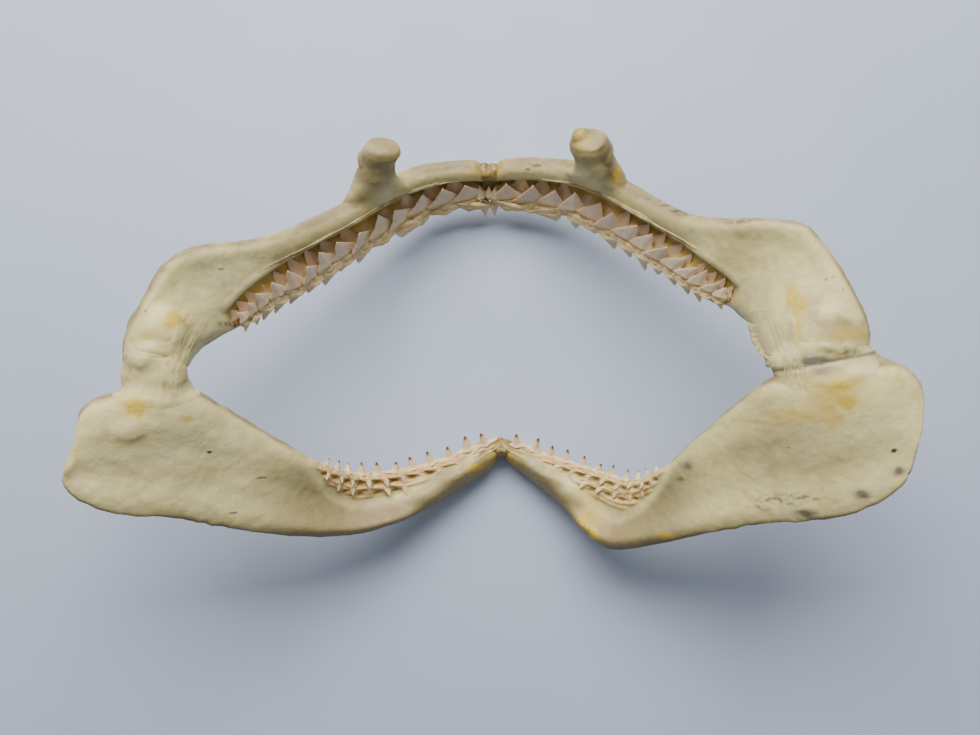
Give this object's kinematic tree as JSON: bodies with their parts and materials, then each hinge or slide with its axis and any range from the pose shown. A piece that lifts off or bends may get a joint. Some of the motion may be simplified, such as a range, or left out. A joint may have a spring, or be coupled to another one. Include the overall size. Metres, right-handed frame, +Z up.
{
  "type": "shark jaw",
  "caption": "Dried jaws of a requiem shark, spread open and lying face down, with tooth rows, orbital processes, joint ligaments and symphysis pads",
  "frame": {"origin": "middle of the footprint of the bounding box, on the ground", "axes": "+X across the mouth from the jaw's left in the picture to its right, +Y from the lower jaw to the upper jaw, +Z up, from the teeth and chin on the ground to the jaw joints"},
  "size_m": [0.3979, 0.2245, 0.1192],
  "materials": {
    "cartilage": "dried calcified cartilage, satin, ivory to greenish tan, with whiter teeth",
    "ligament": "dried fibrous ligament, satin, pale tan",
    "dried_skin": "thin dried skin, slightly translucent",
    "symphysis_pad": "dried soft cartilage, translucent yellow"
  },
  "bodies": {
    "root": {"upper_jaw_left": "cartilage", "upper_jaw_right": "cartilage", "lower_jaw_left": "cartilage", "lower_jaw_right": "cartilage", "joint_ligament_left": "ligament", "joint_ligament_right": "ligament", "mouth_corner_skin_right": "dried_skin", "upper_symphysis_pad": "symphysis_pad", "lower_symphysis_pad": "symphysis_pad"}
  },
  "joints": []
}
